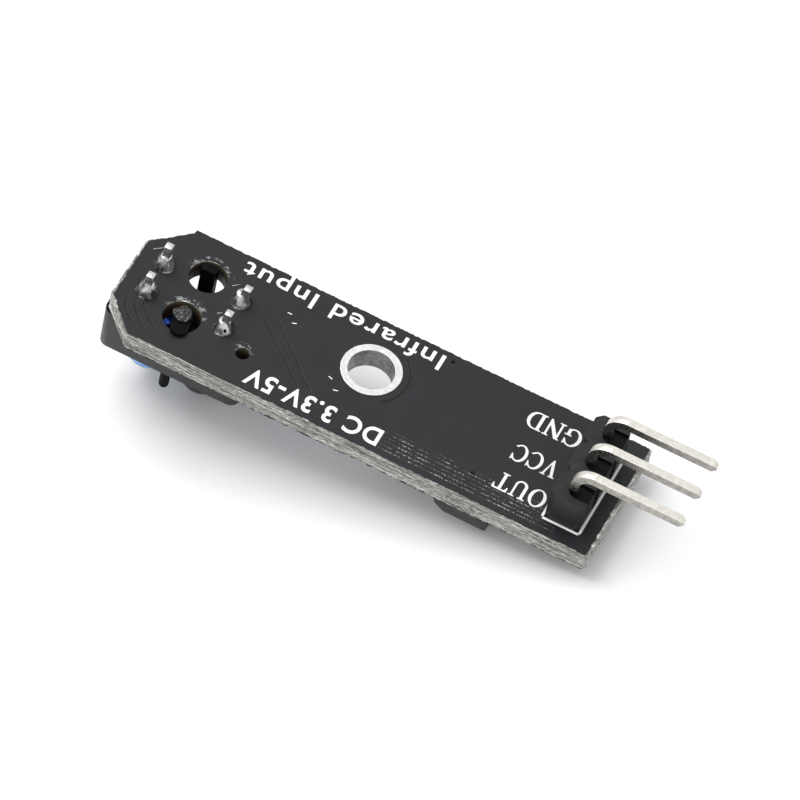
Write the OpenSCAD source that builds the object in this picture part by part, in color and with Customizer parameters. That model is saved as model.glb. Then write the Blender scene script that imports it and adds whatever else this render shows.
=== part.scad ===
// Infrared line-tracking sensor board for a small line-following robot.
// The label side of the board faces +Z and the sensor looks down along -Z.
// +X runs along the board to the connector. The origin is the centre of the
// mounting hole, on the label side.

/* [Board] */
// Distance from the mounting hole to the connector end
board_right = 18.45; // [17.6:0.05:22]
// Distance from the mounting hole to the sensor end
board_left = 17.3; // [17.2:0.05:17.6]
// Width of the board
board_w = 9.9; // [9.4:0.1:14]
// How far the mounting hole sits off the centreline
hole_offset = 0.88; // [0.6:0.02:1.2]
// Thickness of the laminate
board_t = 1.6; // [1.2:0.2:2]
// Radius of the plated mounting hole
hole_r = 1.57; // [1.4:0.01:1.7]
// Radius of the silver ring around the mounting hole
ring_r = 2.06; // [1.9:0.01:2.6]
// Thickness of the plating on both faces
plate_t = 0.06; // [0.04:0.01:0.1]
// Thickness of the tinned wall in the hole
barrel_t = 0.2; // [0.18:0.01:0.3]
// Radius of the small locating hole
small_hole_r = 0.5; // [0.3:0.05:0.6]

/* [Connector] */
// Spacing of the pins
pitch = 2.54; // [2.54:0.01:2.6]
// Side of the square pins
pin_side = 0.6; // [0.5:0.02:0.7]
// Height of the plastic block
block_h = 2.65; // [2:0.05:2.8]
// Distance from the mounting hole to the pin row
pin_x = 15.87; // [15.6:0.01:16]
// Height of the level part of a pin, at its middle
pin_z = 4.56; // [4.3:0.02:6]
// Middle radius of the bend in a pin
bend_r = 1.2; // [0.8:0.1:1.5]
// Distance from the mounting hole to the pin tips
pin_tip_x = 23.4; // [20:0.1:27]

/* [Sensor] */
// Distance from the mounting hole to the middle of the sensor housing
housing_x = -12.42; // [-12.5:0.01:-12.3]
// Length of the sensor housing
housing_l = 10.2; // [10:0.05:10.3]
// Width of the sensor housing
housing_w = 5.9; // [5.7:0.1:6.1]
// Depth of the housing front below the underside of the board
housing_d = 3.55; // [3.4:0.05:3.8]
// Depth of the dome tips below the underside of the board
dome_d = 7; // [6.6:0.1:7.4]
// Radius of the domes
dome_r = 1.5; // [1.4:0.05:1.55]
// Distance from the mounting hole to the emitter dome
emitter_x = -14.85; // [-14.9:0.01:-14.7]
// Distance from the mounting hole to the detector dome
detector_x = -10.88; // [-11:0.01:-10.8]
// Side of the square base of each lamp
lamp_side = 3.5; // [3.4:0.02:3.54]
// Distance from the mounting hole to the midpoint of the four leads
sensor_x = -12.55; // [-12.6:0.01:-12.5]
// Spacing of the two rows of leads
lead_rows = 5.58; // [5.5:0.02:5.6]
// Side of the square leads
lead_side = 0.52; // [0.4:0.02:0.6]

/* [Underside parts] */
// Width of the comparator body
chip_w = 3.9; // [3.8:0.1:4]
// Length of the comparator body
chip_l = 4.9; // [4.8:0.1:5]
// Side of the square trimmer
trimmer_side = 3.5; // [3.2:0.1:3.6]
// Angle of the screwdriver slot in the trimmer
trimmer_angle = 0; // [-120:5:120]

/* [Hidden] */
$fn = 64;
mid_y = -hole_offset;
far_y = mid_y + board_w / 2;
near_y = mid_y - board_w / 2;
under = -board_t;
front_z = under - housing_d;
tip_z = under - dome_d;
pin_ys = [mid_y + pitch, mid_y, mid_y - pitch];
lamp_top = under - 0.55;
lead_y_shift = 0.05;
lead_bend_z = 0.2;
peg_x = -12.35;
peg_y = mid_y - 1.98;
chip_x = 9.48;
chip_y = near_y + 0.4 + chip_l / 2;
trimmer_x = -5.2;
trimmer_y = mid_y;
rotor_r = 1.2;
rotor_gap = 0.04;
chip_part = [1.6, 0.8, 0.45];
end_cap = 0.3;
// Centre and turn of each small surface part
small_parts = [[5.3, 2.6, 0], [5.3, 1.2, 0], [9.48, 1.5, 0], [13.8, -3.4, 90],
    [5.3, -0.6, 0], [13.8, 1.9, 90]];

// Position of a lead: end is -1 at the emitter, side is 1 on the far side
function lead_pos(end, side) =
    [sensor_x + end * lead_rows / 2, mid_y + lead_y_shift + side * pitch / 2];

// ---------------------------------------------------------------- board

module board_outline() {
    tab = 0.43;
    difference() {
        polygon([[-board_left, mid_y - 2.56], [-board_left + 2.4, near_y],
            [board_right, near_y], [board_right, far_y],
            [-board_left + 2.3, far_y], [-board_left + 2.3, far_y - tab],
            [-board_left, mid_y + 2.43]]);
        // Small hollow corner where the sloping edge meets the far edge
        translate([-board_left + 2.3 - 0.42, far_y]) circle(r = 0.6, $fn = 48);
    }
}

module snap_holes(r, h) {
    translate([sensor_x + 0.1, mid_y + 1.9, -h / 2]) cylinder(r = r, h = h);
    translate([sensor_x + 0.1, mid_y - 1.9, -h / 2]) cylinder(r = r, h = h);
}

module circuit_board() {
    color("#1c1c1f")
    difference() {
        translate([0, 0, under]) linear_extrude(board_t) board_outline();
        // Mounting hole, wide enough for its plating
        cylinder(r = hole_r + barrel_t, h = 9, center = true);
        // Holes for the snap pegs of the sensor
        snap_holes(1.3, 9);
        // Locating hole
        translate([-7.77, -3.27, 0]) cylinder(r = small_hole_r, h = 9, center = true);
        // Lead holes
        for (end = [-1, 1], side = [-1, 1])
            translate(lead_pos(end, side)) cylinder(r = 0.45, h = 9, center = true, $fn = 32);
        // Pin holes
        for (y = pin_ys) translate([pin_x, y, 0]) cylinder(r = 0.55, h = 9, center = true, $fn = 32);
        // Plated holes that join the two sides
        for (p = [[4.27, 3.48], [9.21, -3.84]])
            translate(p) cylinder(r = 0.16, h = 9, center = true, $fn = 24);
    }
}

module hole_plating() {
    color("#c9c9cb")
    rotate_extrude($fn = 96)
    polygon([[hole_r, under - plate_t], [ring_r, under - plate_t], [ring_r, under],
        [hole_r + barrel_t, under], [hole_r + barrel_t, 0], [ring_r, 0],
        [ring_r, plate_t], [hole_r, plate_t]]);
}

// ------------------------------------------------------------ connector

module pin_cell() {
    c = 0.42;
    w = pitch / 2;
    d = 1.25;
    polygon([[-d + c, -w], [d - c, -w], [d, -w + c], [d, w - c],
        [d - c, w], [-d + c, w], [-d, w - c], [-d, -w + c]]);
}

module pin_block() {
    color("#161618")
    difference() {
        for (y = pin_ys) translate([pin_x, y, 0]) linear_extrude(block_h) pin_cell();
        // Square holes for the pins
        for (y = pin_ys)
            translate([pin_x - pin_side / 2, y - pin_side / 2, -1])
                cube([pin_side, pin_side, block_h + 2]);
    }
}

module pin(y) {
    s = pin_side / 2;
    tail = under - 1.5;
    level = pin_x + bend_r;
    color("#cfc9bb")
    translate([0, y, 0]) {
        intersection() {
            union() {
                translate([pin_x - s, -s, tail]) cube([2 * s, 2 * s, pin_z - bend_r - tail]);
                translate([level, 0, pin_z - bend_r]) rotate([90, 0, 0]) rotate([0, 0, 90])
                    rotate_extrude(angle = 90) translate([bend_r, 0]) square(2 * s, center = true);
                translate([level, -s, pin_z - s]) cube([pin_tip_x - level, 2 * s, 2 * s]);
            }
            // Chamfers on the tip, above and below
            rotate([90, 0, 0]) linear_extrude(2, center = true)
                polygon([[pin_x - s, tail], [pin_x + s, tail], [pin_x + s, pin_z - bend_r - s],
                    [level, pin_z - s], [pin_tip_x - 0.3, pin_z - s], [pin_tip_x, pin_z - s + 0.16],
                    [pin_tip_x, pin_z + s - 0.16], [pin_tip_x - 0.3, pin_z + s],
                    [pin_x - s, pin_z + s]]);
            // Chamfers on the two sides of the tip
            translate([0, 0, tail - 1]) linear_extrude(pin_z - tail + 4)
                polygon([[pin_x - 2, -s], [pin_tip_x - 0.3, -s], [pin_tip_x, -s + 0.16],
                    [pin_tip_x, s - 0.16], [pin_tip_x - 0.3, s], [pin_x - 2, s]]);
        }
    }
}

module pin_ground() { pin(pin_ys[0]); }
module pin_supply() { pin(pin_ys[1]); }
module pin_output() { pin(pin_ys[2]); }

// Solder cone with a hollow flank: foot radius, top radius, height
function flank(foot, top, h) =
    [for (i = [0 : 5]) let (t = i / 5) [top + (foot - top) * pow(1 - t, 2), h * t]];

module pin_joint(y) {
    color("#b9b9bc")
    translate([pin_x, y, under])
    difference() {
        mirror([0, 0, 1]) rotate_extrude($fn = 48)
            polygon(concat([[0, -board_t], [0.55, -board_t], [0.55, 0]],
                flank(0.85, 0.46, 0.85), [[0, 0.85]]));
        translate([-pin_side / 2, -pin_side / 2, -3]) cube([pin_side, pin_side, 6]);
    }
}

module pin_joint_ground() { pin_joint(pin_ys[0]); }
module pin_joint_supply() { pin_joint(pin_ys[1]); }
module pin_joint_output() { pin_joint(pin_ys[2]); }

// --------------------------------------------------------------- sensor

module housing_outline() {
    l = housing_l / 2;
    w = housing_w / 2;
    r = 0.7;
    square([2 * l - 2 * r, 2 * w], center = true);
    square([2 * l, 2 * w - 2 * r], center = true);
    for (x = [-1, 1], y = [-1, 1]) translate([x * (l - r), y * (w - r)]) circle(r = r, $fn = 48);
}

// Bar that stands on the body beside the lamps, from inside the body up to top
module snap_bar(x, y, bar_w, bar_d, top) {
    translate([x - bar_w / 2, mid_y + y - bar_d / 2, front_z + 0.4])
        cube([bar_w, bar_d, top - front_z - 0.4]);
}

// Seat for one lamp: a square pocket behind a round bore
module lamp_seat(x) {
    side = lamp_side + 0.06;
    translate([x, mid_y, front_z - 1]) cylinder(r = dome_r + 0.04, h = 6);
    translate([x - side / 2, mid_y - side / 2, lamp_top - 1.04]) cube([side, side, 4]);
}

module sensor_housing() {
    color("#141416")
    difference() {
        union() {
            difference() {
                translate([housing_x, mid_y, front_z])
                    linear_extrude(housing_d - 0.1) housing_outline();
                // Waist on both sides that frees the snap pegs
                for (side = [-1, 1])
                    translate([sensor_x, mid_y + side * 3.72, under])
                        cube([2.9, 4, 3.3], center = true);
            }
            // Far peg, a flat bar that ends level with the label side
            snap_bar(-12.65, 2.62, 1.05, 0.6, 0);
            // Near peg, round, on a bar of its own
            snap_bar(peg_x, -2.45, 0.9, 0.9, under - 0.1);
            translate([peg_x, peg_y, front_z + 0.4]) cylinder(r = 0.62, h = 0.02 - front_z, $fn = 40);
            // Hook of the near peg, over the edge of its hole
            translate([peg_x, peg_y, 0.02]) rotate([0, 0, 12]) linear_extrude(0.26) {
                translate([-0.6, -0.95]) square([1.2, 0.95]);
                translate([0, -0.95]) circle(r = 0.6, $fn = 40);
            }
            // Rounded foot on each side, below the housing front
            for (side = [-1, 1]) translate([peg_x - 0.2, mid_y + side * (housing_w / 2 - 0.34), 0]) {
                translate([0, 0, front_z - 1.3]) cylinder(r = 0.34, h = 1.5, $fn = 32);
                translate([0, 0, front_z - 1.3]) sphere(r = 0.34, $fn = 32);
            }
        }
        lamp_seat(emitter_x);
        lamp_seat(detector_x);
    }
}

module lamp(x, end, shade) {
    base_h = 1;
    color(shade)
    translate([x, mid_y, 0])
    difference() {
        union() {
            translate([-lamp_side / 2, -lamp_side / 2, lamp_top - base_h])
                cube([lamp_side, lamp_side, base_h]);
            rotate_extrude($fn = 64)
                polygon(concat([[0, lamp_top - base_h], [dome_r, lamp_top - base_h]],
                    [for (i = [0 : 12]) let (a = i * 7.5)
                        [dome_r * cos(a), tip_z + dome_r - dome_r * sin(a)]]));
        }
        // Square sockets for the leads
        for (side = [-1, 1]) translate([lead_pos(end, side)[0] - x - lead_side / 2,
            lead_y_shift + side * pitch / 2 - lead_side / 2, lamp_top - 0.5])
                cube([lead_side, lead_side, 2]);
    }
}

module emitter_lamp() { lamp(emitter_x, -1, "#3f86d8"); }
module detector_lamp() { lamp(detector_x, 1, "#101013"); }

// Square lead that leans a little towards +X above the board
module lead(end, side, top, lean) {
    h = lead_side / 2;
    low = lamp_top - 0.5;
    translate(lead_pos(end, side)) rotate([90, 0, 0])
        linear_extrude(lead_side, center = true)
            polygon([[-h, low], [h, low], [h, lead_bend_z], [h + lean, top],
                [-h + lean, top], [-h, lead_bend_z]]);
}

lead_grey = "#c8c8ca";
module emitter_lead_far() { color(lead_grey) lead(-1, 1, 2.05, 0.08); }
module emitter_lead_near() { color(lead_grey) lead(-1, -1, 1.8, 0.08); }
module detector_lead_far() { color(lead_grey) lead(1, 1, 1.6, 0.35); }
module detector_lead_near() { color(lead_grey) lead(1, -1, 1.75, 0.22); }

// Solder around one lead, which passes through it
module lead_joint(end, side, foot, h) {
    color("#bcbcbf")
    difference() {
        translate(lead_pos(end, side)) rotate_extrude($fn = 48)
            polygon(concat([[0, under], [0.45, under], [0.45, 0]],
                flank(foot, 0.42, h), [[0, h]]));
        children();
    }
}

module emitter_joint_far() { lead_joint(-1, 1, 0.76, 0.95) lead(-1, 1, 2.05, 0.08); }
module emitter_joint_near() { lead_joint(-1, -1, 0.74, 0.9) lead(-1, -1, 1.8, 0.08); }
module detector_joint_far() { lead_joint(1, 1, 0.75, 0.7) lead(1, 1, 1.6, 0.35); }
module detector_joint_near() { lead_joint(1, -1, 0.74, 0.8) lead(1, -1, 1.75, 0.22); }

// ------------------------------------------------------- underside parts

module comparator_body() {
    w = chip_w / 2;
    l = chip_l / 2;
    d = 0.12;
    t = 1.5;
    color("#18181a")
    translate([chip_x, chip_y, under - 0.12]) mirror([0, 0, 1])
    intersection() {
        rotate([90, 0, 0]) linear_extrude(2 * l, center = true)
            polygon([[-w + d, 0], [w - d, 0], [w, t * 0.45], [w - d, t],
                [-w + 0.75, t], [-w + 0.08, t - 0.62], [-w, t * 0.45]]);
        rotate([90, 0, 90]) linear_extrude(2 * w, center = true)
            polygon([[-l + d, 0], [l - d, 0], [l, t * 0.45], [l - d, t], [-l + d, t], [-l, t * 0.45]]);
    }
}

// Gull-wing lead, running out along +X from the side of the body
module wing_lead() {
    w = chip_w / 2;
    rotate([90, 0, 0]) linear_extrude(0.42, center = true)
        polygon([[w + 0.001, 0.7], [w + 0.001, 0.9], [w + 0.3, 0.9], [w + 0.52, 0.2],
            [w + 1.05, 0.2], [w + 1.05, 0], [w + 0.36, 0], [w + 0.16, 0.7]]);
}

module comparator_leads() {
    color("#bfbfc1")
    translate([chip_x, chip_y, under]) mirror([0, 0, 1])
    for (side = [0, 1], i = [-1.5 : 1 : 1.5])
        mirror([side, 0, 0]) translate([0, i * 1.27, 0]) wing_lead();
}

module trimmer_base() {
    s = trimmer_side;
    color("#1b4f9c")
    translate([trimmer_x, trimmer_y, under - 0.1]) mirror([0, 0, 1])
    difference() {
        intersection() {
            translate([-s / 2, -s / 2, 0]) cube([s, s, 1.25]);
            rotate([0, 0, 45]) cube([s * 1.26, s * 1.26, 4], center = true);
        }
        // Seat for the rotor
        translate([0, 0, 0.35]) cylinder(r = rotor_r + rotor_gap, h = 2);
    }
}

module trimmer_rotor() {
    color("#d9d9d6")
    translate([trimmer_x, trimmer_y, under - 0.1]) mirror([0, 0, 1]) rotate([0, 0, -trimmer_angle])
    difference() {
        translate([0, 0, 0.4]) cylinder(r = rotor_r, h = 1.1);
        // Cross slot for a small screwdriver
        translate([-0.95, -0.19, 1.05]) cube([1.9, 0.38, 1]);
        translate([-0.19, -0.7, 1.05]) cube([0.38, 1.4, 1]);
    }
}

module trimmer_terminals() {
    s = trimmer_side / 2;
    color("#c4c4c6")
    translate([trimmer_x, trimmer_y, under]) mirror([0, 0, 1]) {
        translate([-0.6, s - 0.3, 0]) cube([1.2, 0.75, 0.1]);
        for (x = [-1.25, 0.55]) translate([x, -s - 0.45, 0]) cube([0.7, 0.75, 0.1]);
    }
}

module place_small(i) {
    p = small_parts[i];
    translate([p[0], p[1], under]) mirror([0, 0, 1]) rotate([0, 0, p[2]]) children();
}

module chip_body(h) {
    l = chip_part[0] - 2 * end_cap;
    translate([-l / 2, -chip_part[1] / 2, 0.03]) cube([l, chip_part[1], h - 0.06]);
}

module chip_ends(h) {
    for (side = [0, 1]) mirror([side, 0, 0])
        translate([chip_part[0] / 2 - end_cap, -chip_part[1] / 2, 0]) cube([end_cap, chip_part[1], h]);
}

module emitter_resistor() { color("#141415") place_small(0) chip_body(chip_part[2]); }
module detector_resistor() { color("#141415") place_small(1) chip_body(chip_part[2]); }
module output_resistor() { color("#141415") place_small(2) chip_body(chip_part[2]); }
module signal_lamp_resistor() { color("#141415") place_small(3) chip_body(chip_part[2]); }
module resistor_ends() {
    color("#c8c8ca") for (i = [0 : 3]) place_small(i) chip_ends(chip_part[2]);
}
module supply_capacitor() { color("#a98a63") place_small(4) chip_body(0.8); }
module capacitor_ends() { color("#c8c8ca") place_small(4) chip_ends(0.8); }

module signal_lamp() {
    color("#e8ecdf")
    place_small(5) {
        chip_body(0.3);
        translate([-0.45, -0.35, 0.24]) cube([0.9, 0.7, 0.4]);
    }
}
module signal_lamp_ends() { color("#d8c27a") place_small(5) chip_ends(0.3); }

circuit_board();
hole_plating();
pin_block();
pin_ground();
pin_supply();
pin_output();
pin_joint_ground();
pin_joint_supply();
pin_joint_output();
sensor_housing();
emitter_lamp();
detector_lamp();
emitter_lead_far();
emitter_lead_near();
detector_lead_far();
detector_lead_near();
emitter_joint_far();
emitter_joint_near();
detector_joint_far();
detector_joint_near();
comparator_body();
comparator_leads();
trimmer_base();
trimmer_rotor();
trimmer_terminals();
emitter_resistor();
detector_resistor();
output_resistor();
signal_lamp_resistor();
resistor_ends();
supply_capacitor();
capacitor_ends();
signal_lamp();
signal_lamp_ends();
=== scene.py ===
"""Finish of a line sensor module: board, legend, connector, sensor and underside parts.

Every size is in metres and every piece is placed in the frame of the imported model.
"""

import math

import bmesh
import bpy
from bpy.props import FloatProperty, FloatVectorProperty, PointerProperty, StringProperty
from mathutils import Matrix, Vector, noise


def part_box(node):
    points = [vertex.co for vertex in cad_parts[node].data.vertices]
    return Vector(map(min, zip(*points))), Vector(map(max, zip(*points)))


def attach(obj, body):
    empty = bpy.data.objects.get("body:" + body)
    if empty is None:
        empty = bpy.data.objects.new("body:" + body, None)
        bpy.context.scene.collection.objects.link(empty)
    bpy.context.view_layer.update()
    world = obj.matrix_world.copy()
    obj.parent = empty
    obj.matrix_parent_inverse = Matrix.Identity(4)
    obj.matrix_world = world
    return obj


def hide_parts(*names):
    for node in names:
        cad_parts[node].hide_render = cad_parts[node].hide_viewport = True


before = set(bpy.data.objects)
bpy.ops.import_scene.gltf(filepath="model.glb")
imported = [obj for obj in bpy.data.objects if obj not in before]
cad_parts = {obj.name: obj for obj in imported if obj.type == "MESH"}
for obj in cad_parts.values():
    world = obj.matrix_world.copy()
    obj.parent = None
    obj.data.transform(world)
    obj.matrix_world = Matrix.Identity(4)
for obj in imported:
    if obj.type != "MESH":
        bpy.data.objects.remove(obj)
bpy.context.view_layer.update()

bl_info = {
    "name": "Line Sensor Module",
    "version": (1, 0, 0),
    "blender": (4, 5, 0),
    "location": "View3D > Sidebar > Module",
    "description": "Finishes a line sensor module around its CAD frame",
    "category": "Object",
}

MM = 0.001
BOARD_LOW, BOARD_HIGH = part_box("circuit_board")
UNDERSIDE = BOARD_LOW.z
HOLE_CENTRE = sum(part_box("hole_plating"), Vector()) / 2
# Centre and radius of the two peg holes and of the small hole
DRILLED = [(Vector((-12.45, 1.02, 0)) * MM, 1.3 * MM),
           (Vector((-12.45, -2.78, 0)) * MM, 1.3 * MM),
           (Vector((-7.77, -3.27, 0)) * MM, 0.5 * MM)]
NEAR_PEG = Vector((-12.42, -2.80, 0)) * MM
# A face whose normal has more than this of Z is level, and an edge that has it is upright
STEEP = 0.9


# ------------------------------------------------------------------ modelling

def clear_selection():
    """Back to object mode with nothing selected."""
    if bpy.context.object and bpy.context.object.mode != "OBJECT":
        bpy.ops.object.mode_set(mode="OBJECT")
    bpy.ops.object.select_all(action="DESELECT")


def hold(piece):
    """Make one piece the active and only selected object."""
    clear_selection()
    piece.select_set(True)
    bpy.context.view_layer.objects.active = piece
    return piece


def open_mesh(piece):
    """Edit mode on one piece, with all of it selected."""
    hold(piece)
    bpy.ops.object.mode_set(mode="EDIT")
    bpy.ops.mesh.select_all(action="SELECT")


def close_mesh():
    """Leave edit mode."""
    bpy.ops.object.mode_set(mode="OBJECT")


def pick(piece, kind, wanted):
    """Select only the faces or edges of the open mesh that pass a test. Returns how many."""
    mesh = bmesh.from_edit_mesh(piece.data)
    mesh.normal_update()
    chosen = [part for part in getattr(mesh, kind) if wanted(part)]
    for group in (mesh.faces, mesh.edges, mesh.verts):
        for part in group:
            part.select_set(False)
    bpy.context.tool_settings.mesh_select_mode = (False, kind == "edges", kind == "faces")
    mesh.select_mode = {"FACE"} if kind == "faces" else {"EDGE"}
    for part in chosen:
        part.select_set(True)
    mesh.select_flush_mode()
    bmesh.update_edit_mesh(piece.data)
    return len(chosen)


def outer_wall(mesh):
    """The upright faces of the outside edge, which meet one another side by side."""
    upright = {f for f in mesh.faces if abs(f.normal.z) < STEEP}
    start = max(upright, key=lambda f: f.calc_center_median().x)
    found, waiting = {start}, [start]
    while waiting:
        for edge in waiting.pop().edges:
            for face in edge.link_faces:
                if face in upright and face not in found:
                    found.add(face)
                    waiting.append(face)
    return found


def merged_copy(node, name):
    """A CAD node's shape as a new piece, its loose triangles joined into whole faces."""
    clear_selection()
    piece = bpy.data.objects.new(name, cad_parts[node].data.copy())
    bpy.context.scene.collection.objects.link(piece)
    piece.data.materials.clear()
    hold(piece)
    bpy.ops.mesh.customdata_custom_splitnormals_clear()
    open_mesh(piece)
    bpy.ops.mesh.remove_doubles(threshold=2e-7)
    bpy.ops.mesh.dissolve_limited(angle_limit=math.radians(0.4))
    close_mesh()
    return piece


def apply(piece, kind, **settings):
    """Add one modifier with its settings and apply it."""
    hold(piece)
    modifier = piece.modifiers.new(kind.lower(), kind)
    for key, value in settings.items():
        setattr(modifier, key, value)
    bpy.ops.object.modifier_apply(modifier=modifier.name)
    return piece


def ease(piece, width, segments=2, angle=32, flat=True):
    """Round the sharp edges of a piece by a small width, and keep its flat faces flat."""
    apply(piece, "BEVEL", width=width, segments=segments, limit_method="ANGLE",
          angle_limit=math.radians(angle), miter_outer="MITER_ARC", use_clamp_overlap=True)
    smooth(piece)
    return apply(piece, "WEIGHTED_NORMAL", weight=90, keep_sharp=True) if flat else piece


def smooth(piece, angle=38):
    """Smooth shading, with edges sharper than the angle kept crisp."""
    hold(piece)
    bpy.ops.object.shade_smooth_by_angle(angle=math.radians(angle))
    return piece


def join(name, pieces):
    """Several meshes as one piece."""
    clear_selection()
    for piece in pieces:
        piece.select_set(True)
    bpy.context.view_layer.objects.active = pieces[0]
    if len(pieces) > 1:
        bpy.ops.object.join()
    joined = bpy.context.object
    joined.name = name
    return joined


def rod(start, end, half_width, half_height, sides=4, flat=True, taper=1.0):
    """A bar from start to end. Four sides stand flat on the board or on an edge."""
    clear_selection()
    bpy.ops.mesh.primitive_cylinder_add(vertices=sides, radius=1, depth=1)
    bar = bpy.context.object
    open_mesh(bar)
    if taper != 1.0:
        pick(bar, "faces", lambda f: f.normal.z > STEEP)
        bpy.ops.transform.resize(value=(taper, taper, 1), center_override=(0, 0, 0.5))
    close_mesh()
    if sides == 4 and flat:
        bar.data.transform(Matrix.Rotation(math.pi / 4, 4, "Z"))
        bar.data.transform(Matrix.Diagonal((math.sqrt(2), math.sqrt(2), 1, 1)))
    start, end = Vector(start), Vector(end)
    along = end - start
    up = Vector((0, 0, 1)) if abs(along.normalized().z) < STEEP else Vector((0, 1, 0))
    side = up.cross(along).normalized()
    up = along.cross(side).normalized()
    turn = Matrix((side * half_width, up * half_height, along)).transposed().to_4x4()
    bar.data.transform(Matrix.Translation((start + end) / 2) @ turn)
    return bar


def strips(lines, level, half_width, half_height, **shape):
    """Thin bars along lines that are given in mm, all at one height."""
    return [rod((a[0] * MM, a[1] * MM, level), (b[0] * MM, b[1] * MM, level),
                half_width, half_height, **shape) for a, b in lines]


def raised(name, foot, rings, centre, sides=48):
    """A round piece raised ring by ring from its foot: each ring is a radius and a height."""
    clear_selection()
    bpy.ops.mesh.primitive_circle_add(vertices=sides, radius=foot, fill_type="NGON")
    piece = bpy.context.object
    open_mesh(piece)
    radius, height = foot, 0.0
    for next_radius, next_height in rings:
        bpy.ops.mesh.extrude_region_move(
            TRANSFORM_OT_translate={"value": (0, 0, next_height - height)})
        share = next_radius / radius
        bpy.ops.transform.resize(value=(share, share, 1), center_override=(0, 0, 0))
        radius, height = next_radius, next_height
    bpy.ops.mesh.select_all(action="SELECT")
    bpy.ops.mesh.normals_make_consistent(inside=False)
    close_mesh()
    piece.data.transform(Matrix.Translation(centre))
    piece.name = name
    return piece


def cut(piece, tool, crossing=False):
    """Cut a shape out of a piece. If the tool has a material, the cut faces take it."""
    apply(piece, "BOOLEAN", operation="DIFFERENCE", solver="EXACT", object=tool,
          use_self=crossing, material_mode="TRANSFER" if tool.data.materials else "INDEX")
    bpy.data.objects.remove(tool)
    return piece


def unevenness(point, size, seed):
    """A smooth noise value from -1 to 1 at a point, for features of that size."""
    return noise.noise(point / size + Vector((seed * 7.3, seed * 3.1, seed * 5.7)))


def wear(piece, depth, size, seed, wanted=lambda point: True, spread=Vector((1, 1, 1))):
    """Push the chosen points in or out along their normals, unevenly."""
    for vertex in piece.data.vertices:
        if wanted(vertex.co):
            vertex.co += vertex.normal * spread * depth * unevenness(vertex.co, size, seed)
    piece.data.update()
    return piece


def coat(piece, *names):
    """Give a piece its finishes, in the order of its faces' material numbers."""
    for name in names:
        piece.data.materials.append(finish(name))
    return piece


def settle(piece, slot, *nodes, body="board"):
    """Give a finished piece its body and hide the CAD nodes it stands for. The slot is not used."""
    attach(piece, body)
    if nodes:
        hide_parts(*nodes)
    return piece


# ------------------------------------------------------------------ materials

def shade(colour, share):
    """A colour at a share of its brightness."""
    return [min(1, c * share) for c in colour]


class Finish:
    """A node material that is built up a step at a time."""

    def __init__(self, name):
        self.material = bpy.data.materials.new(name)
        self.material.use_nodes = True
        self.tree = self.material.node_tree
        self.shader = self.tree.nodes["Principled BSDF"]
        self.place = self.add("ShaderNodeTexCoord").outputs["Object"]

    def add(self, kind, **settings):
        made = self.tree.nodes.new(kind)
        for key, value in settings.items():
            setattr(made, key, value)
        return made

    def feed(self, socket, value):
        if isinstance(value, bpy.types.NodeSocket):
            self.tree.links.new(value, socket)
        elif hasattr(value, "__len__") and len(value) == 3 and socket.type == "RGBA":
            socket.default_value = (*value, 1)
        else:
            socket.default_value = value

    def set(self, **inputs):
        """Values or sockets for the shader, with _ for a space in the input's name."""
        for key, value in inputs.items():
            self.feed(self.shader.inputs[key.replace("_", " ")], value)
        return self

    def stretched(self, *scale):
        """Object coordinates, scaled differently each way."""
        mapping = self.add("ShaderNodeMapping")
        self.feed(mapping.inputs["Vector"], self.place)
        mapping.inputs["Scale"].default_value = scale
        return mapping.outputs["Vector"]

    def grain(self, size, detail=4.0, roughness=0.6, place=None, distortion=0.0):
        """Noise with features of about this size in metres."""
        made = self.add("ShaderNodeTexNoise")
        self.feed(made.inputs["Vector"], place or self.place)
        for key, value in (("Scale", 1 / size), ("Detail", detail), ("Roughness", roughness),
                           ("Distortion", distortion)):
            made.inputs[key].default_value = value
        return made.outputs["Fac"]

    def ramp(self, value, *stops):
        """Colours or greys set out along a value."""
        made = self.add("ShaderNodeValToRGB")
        self.feed(made.inputs["Fac"], value)
        points = made.color_ramp.elements
        while len(points) < len(stops):
            points.new(0.5)
        for point, (where, colour) in zip(points, stops):
            point.position = where
            point.color = (*colour, 1) if hasattr(colour, "__len__") else (colour,) * 3 + (1,)
        return made.outputs["Color"]

    def maths(self, operation, *values):
        """One or more steps of a maths operation: each value is worked into the last result."""
        total = values[0]
        for value in values[1:]:
            made = self.add("ShaderNodeMath", operation=operation)
            self.feed(made.inputs[0], total)
            self.feed(made.inputs[1], value)
            total = made.outputs[0]
        return total

    def blend(self, share, a, b):
        """Colour a where the share is 0, colour b where it is 1."""
        made = self.add("ShaderNodeMix", data_type="RGBA")
        sockets = [s for s in made.inputs if s.enabled]
        for socket, value in zip(sockets, (share, a, b)):
            self.feed(socket, value)
        return next(s for s in made.outputs if s.enabled)

    def axis(self, letter):
        """One of the object coordinates."""
        made = self.add("ShaderNodeSeparateXYZ")
        self.feed(made.inputs[0], self.place)
        return made.outputs[letter]

    def within(self, value, low, high, soft):
        """1 where the value lies between low and high, fading to 0 over a soft margin."""
        parts = []
        for start, end in ((low - soft, low), (high + soft, high)):
            made = self.add("ShaderNodeMapRange")
            for key, number in (("From Min", start), ("From Max", end)):
                made.inputs[key].default_value = number
            self.feed(made.inputs["Value"], value)
            parts.append(made.outputs[0])
        return self.maths("MULTIPLY", *parts)

    def relief(self, height, depth, below=None):
        """Bump from a height, with its depth in metres."""
        made = self.add("ShaderNodeBump")
        made.inputs["Distance"].default_value = depth
        self.feed(made.inputs["Height"], height)
        if below:
            self.feed(made.inputs["Normal"], below)
        self.feed(self.shader.inputs["Normal"], made.outputs[0])
        return made.outputs[0]


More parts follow.
